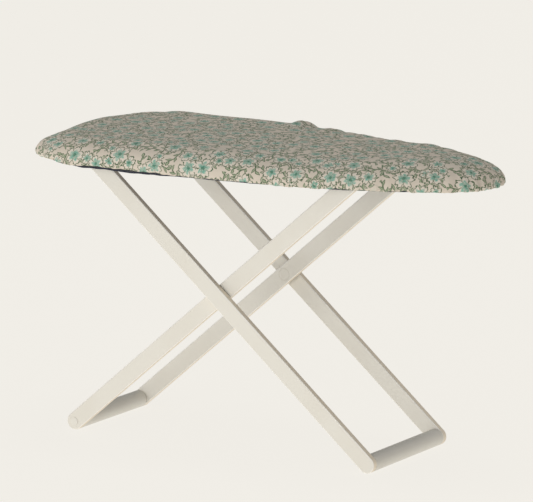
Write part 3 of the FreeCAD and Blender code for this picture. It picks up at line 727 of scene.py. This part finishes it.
def turned_hem(plan):
    """Rings of the fold at the foot of the side and of the raw edge turned under the board."""
    gathers = plan.gathers()
    low = board_low.z + plan.hem_low
    flat = np.maximum(board_low.z + 0.08 * MM, low)
    rings = []
    for a in np.linspace(0.0, FOLD_TURN, FOLD_RINGS)[1:]:
        inset = FOLD_RADIUS * (1 - math.cos(a))
        under = ramp(a, 0.5 * math.pi, FOLD_TURN)
        height = low + FOLD_RADIUS * (1 - math.sin(a)) * (1 - under) + (flat - low) * under
        spot = plan.points + plan.normal * (gathers * (1 - 0.5 * under) - inset)[:, None]
        rings.append(np.column_stack([spot, height]))
    inset = FOLD_RADIUS * (1 - math.cos(FOLD_TURN))
    frayed = plan.waves(((3.1, 0.18), (1.3, 0.1)), SEED + 3)
    for back in np.linspace(0.0, 1.0, HEM_RINGS)[1:]:
        reach = inset + HEM * back + frayed * back - gathers * 0.5 * (1 - back)
        spot = plan.points - plan.normal * reach[:, None]
        ripple = np.abs(gathers) * 0.5 * (1 - back)
        rings.append(np.column_stack([spot, flat + ripple]))
    return rings


def cloth_places(plan, rings, top_count):
    """Where each point lies on the flat cloth: the plan on top, and further out along its normal."""
    start = rings[top_count][:, :2]
    reach = np.zeros(plan.count)
    places = [ring[:, :2] for ring in rings[:top_count + 1]]
    for before, after in zip(rings[top_count:], rings[top_count + 1:]):
        reach = reach + smoothed(np.linalg.norm(after - before, axis=1), 8)
        places.append(start + plan.normal * reach[:, None])
    return places


# The cloth solver is made for things the size of a room, so the cover is simulated twenty times larger.
SOLVER_SCALE = 20.0
SOLVER_FRAMES = 20
SOLVER = {
    "quality": 5,
    "mass": 0.02,
    "tension_stiffness": 20.0,
    "compression_stiffness": 20.0,
    "shear_stiffness": 8.0,
    "bending_stiffness": 0.4,
    "use_pressure": True,
    "uniform_pressure_force": 4.0,
}
SLIDE_KEPT = 0.2  # share of the cloth's sideways movement that is kept


def settle(piece, roomy, pinned, loose, cap):
    """Lets the cloth puff and wrinkle by simulation, towards its roomier cut. It moves outwards only, by at
    most cap."""
    mesh = piece.data.copy()
    mesh.transform(Matrix.Scale(SOLVER_SCALE, 4))
    trial = bpy.data.objects.new("settling", mesh)
    bpy.context.scene.collection.objects.link(trial)
    group = trial.vertex_groups.new(name="pinned")
    for index, weight in enumerate(pinned):
        if weight > 0:
            group.add([index], float(weight), "REPLACE")
    trial.shape_key_add(name="Basis")
    rest = trial.shape_key_add(name="Cut")
    spots = np.empty(len(mesh.vertices) * 3)
    mesh.vertices.foreach_get("co", spots)
    spots = spots.reshape(-1, 3)
    rest.data.foreach_set("co", (spots + roomy * SOLVER_SCALE).ravel())
    cloth = trial.modifiers.new("cloth", "CLOTH")
    for setting, value in SOLVER.items():
        setattr(cloth.settings, setting, value)
    cloth.settings.vertex_group_mass = "pinned"
    cloth.settings.rest_shape_key = rest
    cloth.settings.effector_weights.gravity = 0.0
    cloth.point_cache.frame_start = 1
    cloth.point_cache.frame_end = SOLVER_FRAMES
    for moment in range(1, SOLVER_FRAMES + 1):
        bpy.context.scene.frame_set(moment)
    settled = trial.evaluated_get(bpy.context.evaluated_depsgraph_get()).to_mesh()
    after = np.empty_like(spots.ravel())
    settled.vertices.foreach_get("co", after)
    move = (after.reshape(-1, 3) - spots) / SOLVER_SCALE
    trial.evaluated_get(bpy.context.evaluated_depsgraph_get()).to_mesh_clear()
    bpy.data.objects.remove(trial)
    bpy.context.scene.frame_set(1)
    outward = np.empty_like(spots.ravel())
    piece.data.vertex_normals.foreach_get("vector", outward)
    outward = outward.reshape(-1, 3)
    lift = np.sum(move * outward, axis=1, keepdims=True)
    slide = move - lift * outward
    slip = np.linalg.norm(slide, axis=1, keepdims=True)
    lift = np.where(lift > 0, lift * cap / (cap + np.abs(lift)), 0.0)
    slide = slide * SLIDE_KEPT * cap / (cap + slip)
    move = (lift * outward + slide) * loose[:, None]
    piece.data.vertices.foreach_set("co", (spots / SOLVER_SCALE + move).ravel())
    piece.data.update()


COVER_SPARE = 1.1 * MM  # how much further out the cloth is cut in the rim
PUFF = 0.9 * MM


def make_cover(plan):
    """Printed cover: top, shoulder and side in one cloth, with its raw edge turned under the board."""
    rings = crown(plan, board_high.z, 0.0)
    side_count = len(rings)
    rings += turned_hem(plan)
    places = cloth_places(plan, rings, TOP_RINGS - 1)
    piece = ring_mesh("cover_cloth", rings, [(0, False)], places)
    levels = np.repeat(np.arange(len(rings)), plan.count)
    pinned = np.where(levels >= side_count, 1.0, 0.0)
    loose = 1 - ramp(levels, side_count - 12.0, side_count - 1.0)
    spare = COVER_SPARE * ramp(levels, TOP_RINGS - 4.0, side_count - 6.0)
    roomy = np.zeros((len(levels), 3))
    roomy[:, :2] = np.tile(plan.normal, (len(rings), 1)) * spare[:, None]
    settle(piece, roomy, pinned, loose, PUFF)
    solid = piece.modifiers.new("cloth", "SOLIDIFY")
    solid.thickness = CLOTH
    solid.offset = -1.0
    piece.data.materials.append(printed_cotton())
    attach(piece, "board")
    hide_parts("cover")
    cut = places[-1]
    loop_area(cut)


def make_wadding(plan):
    """Loose wadding under the cover: a pillow that lies on the panel and hangs down round its edge."""
    low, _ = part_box("pad")
    panel_low, panel_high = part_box("base_panel")
    room = panel_low.x - board_low.x - CLEAR
    rings = crown(plan, board_high.z, WADDING_INSIDE)
    for ring in rings:
        ring[:, 2] = np.maximum(ring[:, 2], low.z)
    edge = plan.points - plan.normal * room
    ceiling = panel_high.z + CLEAR
    middle = spine(plan.points, MIDDLE_INSET, board_low.x, board_high.x)
    rings.append(np.column_stack([edge, np.full(plan.count, low.z)]))
    for share in (1.0, 0.95, 0.6, 0.08):
        rings.append(np.column_stack([middle + (edge - middle) * share, np.full(plan.count, ceiling)]))
    piece = ring_mesh("wadding_pad", rings, [(0, False), (len(rings) - 1, True)])
    piece.data.materials.append(wadding())
    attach(piece, "board")
    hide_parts("pad")


FELT_IN = 2.0 * MM  # from the board's outline to the felt's edge
FELT_OUT = 1.35 * MM  # how much less that is where the felt is seen
FELT_TAIL_IN = 2.5 * MM  # how much more at the tail
FELT_TAIL = (66.0, 80.0)  # in millimetres towards the tail, where that begins and is full
FELT_DROOP = 0.10 * MM
FELT_MARGIN = 0.9 * MM  # from the board's outline to the CAD felt's, which gives the sheet's flat area


def make_felt(plan):
    """Felt backing with an uneven, hand-cut edge, which shows below the hem where that rides up."""
    x = plan.points[:, 0] / MM
    seen = window(x, *FELT_SEEN) * plan.front
    cut = plan.waves(((17, 0.2), (5.3, 0.12), (1.9, 0.08)), SEED + 5)
    inset = FELT_IN - FELT_OUT * seen + FELT_TAIL_IN * ramp(-x, *FELT_TAIL) + cut
    droop = (FELT_DROOP + plan.waves(((26, 0.1), (7, 0.05)), SEED + 6)) * seen
    low, high = felt_low.z, felt_high.z
    middle = spine(plan.points, 2.0 * EDGE_ACROSS, felt_low.x, felt_high.x)
    rings = []

    def add(share, extra, height, hang):
        edge = plan.points - plan.normal * (inset + extra)[:, None]
        rings.append(np.column_stack([middle + (edge - middle) * share, height - droop * hang]))

    for share, hang in ((0.05, 0.0), (0.5, 0.0), (0.9, 0.3)):
        add(share, 0.5 * MM, low, hang)
    rounded = (
        (0.5 * MM, low), (0.12 * MM, low + 0.08 * MM), (0.0, (low + high) / 2),
        (0.12 * MM, high - 0.08 * MM), (0.5 * MM, high),
    )
    for extra, height in rounded:
        add(1.0, extra, height, 1.0)
    for share, hang in ((0.9, 0.3), (0.5, 0.0), (0.05, 0.0)):
        add(share, 0.5 * MM, high, hang)
    piece = ring_mesh("felt_sheet", rings[::-1], [(0, False), (len(rings) - 1, True)])
    piece.data.materials.append(felt())
    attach(piece, "board")
    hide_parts("felt_backing")
    area = plan.area(-FELT_MARGIN)


# ---------------------------------------------------------------- carried-over CAD pieces

def paint_frame():
    """Gives the CAD pieces their finishes."""
    finishes = {
        leg_enamel(): ["outer_leg_front", "outer_leg_back", "inner_leg_front", "inner_leg_back"],
        bar_enamel(): ["outer_foot_bar", "inner_foot_bar", "hinge_rod", "slide_rod",
                       "crossing_rivet_front", "crossing_rivet_back"],
        dark_enamel(): ["slide_strap", "hinge_saddle_front", "hinge_saddle_back",
                        "hinge_collar_front", "hinge_collar_back"],
        zinc(): ["saddle_screws", "strap_screws"],
        nylon(): ["crossing_washer_front", "crossing_washer_back"],
        plywood(): ["base_panel"],
    }
    for material, nodes in finishes.items():
        for name in nodes:
            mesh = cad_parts[name].data
            mesh.materials.clear()
            mesh.materials.append(material)


# ---------------------------------------------------------------- studio

FLOOR_COLOUR = (0.08, 0.078, 0.074)
FLOOR_GLOW = (0.826, 0.802, 0.750)
FLOOR_HALF = 12.0
FLOOR_SINK = 0.02 * MM  # keeps the floor clear of the foot bars
WORLD_COLOUR = (0.86, 0.85, 0.83, 1.0)
WORLD_STRENGTH = 0.40
LIT_POINT = Vector((0.0, 0.0, 0.06))

LENS = 337.7
SENSOR = 36.0
CAMERA_AZIMUTH = 30.80
CAMERA_ELEVATION = 11.107
CAMERA_ROLL = 0.256
CAMERA_DISTANCE = 1.8622
LOOK_AT = Vector((-0.0065, 0.0, 0.0720))


def add_floor():
    mesh = bpy.data.meshes.new("studio_floor")
    signs = ((-1, -1), (1, -1), (1, 1), (-1, 1))
    corners = [(a * FLOOR_HALF, b * FLOOR_HALF, -FLOOR_SINK) for a, b in signs]
    mesh.from_pydata(corners, [], [(0, 1, 2, 3)])
    mesh.materials.append(floor_paint())
    floor = bpy.data.objects.new("studio_floor", mesh)
    bpy.context.scene.collection.objects.link(floor)


def add_softbox(name, azimuth, elevation, distance, wide, high, power):
    """A soft box that faces the board, placed by its direction as seen from the board."""
    a, e = math.radians(azimuth), math.radians(elevation)
    toward = Vector((math.sin(a) * math.cos(e), -math.cos(a) * math.cos(e), math.sin(e)))
    data = bpy.data.lights.new(name, "AREA")
    data.shape = "RECTANGLE"
    data.size, data.size_y = wide, high
    data.energy = power
    light = bpy.data.objects.new(name, data)
    light.location = LIT_POINT + toward * distance
    light.rotation_euler = toward.to_track_quat("Z", "Y").to_euler()
    bpy.context.scene.collection.objects.link(light)


def add_camera():
    yaw, pitch, roll = (math.radians(v) for v in (-CAMERA_AZIMUTH, CAMERA_ELEVATION, CAMERA_ROLL))
    forward = Vector((math.sin(yaw) * math.cos(pitch), math.cos(yaw) * math.cos(pitch), -math.sin(pitch)))
    level = Vector((math.cos(yaw), -math.sin(yaw), 0.0))
    upright = level.cross(forward)
    right = level * math.cos(roll) + upright * math.sin(roll)
    up = upright * math.cos(roll) - level * math.sin(roll)
    data = bpy.data.cameras.new("camera")
    data.lens, data.sensor_width = LENS, SENSOR
    data.clip_start, data.clip_end = 0.05, 100.0
    camera = bpy.data.objects.new("camera", data)
    axes = Matrix((right, up, -forward)).transposed().to_4x4()
    camera.matrix_world = Matrix.Translation(LOOK_AT - forward * CAMERA_DISTANCE) @ axes
    bpy.context.scene.collection.objects.link(camera)
    bpy.context.scene.camera = camera


def add_studio():
    world = bpy.data.worlds.new("studio")
    world.use_nodes = True
    backdrop = world.node_tree.nodes["Background"]
    backdrop.inputs["Color"].default_value = WORLD_COLOUR
    backdrop.inputs["Strength"].default_value = WORLD_STRENGTH
    bpy.context.scene.world = world
    bpy.context.scene.view_settings.view_transform = "Standard"
    add_floor()
    add_softbox("front_box", azimuth=-4.0, elevation=8.0, distance=1.5, wide=1.2, high=0.6, power=9.7)
    add_softbox("left_box", azimuth=-55.0, elevation=14.0, distance=1.4, wide=0.8, high=0.6, power=1.4)
    add_softbox("right_box", azimuth=100.0, elevation=22.0, distance=1.4, wide=0.8, high=0.6, power=0.5)
    add_softbox("back_box", azimuth=178.0, elevation=14.0, distance=1.6, wide=1.2, high=0.6, power=1.6)
    add_softbox("top_box", azimuth=180.0, elevation=84.0, distance=1.2, wide=0.5, high=0.35, power=1.7)
    add_camera()


board_plan = Plan("cover", AROUND)
make_cover(board_plan)
make_wadding(board_plan)
make_felt(board_plan)
paint_frame()
add_studio()
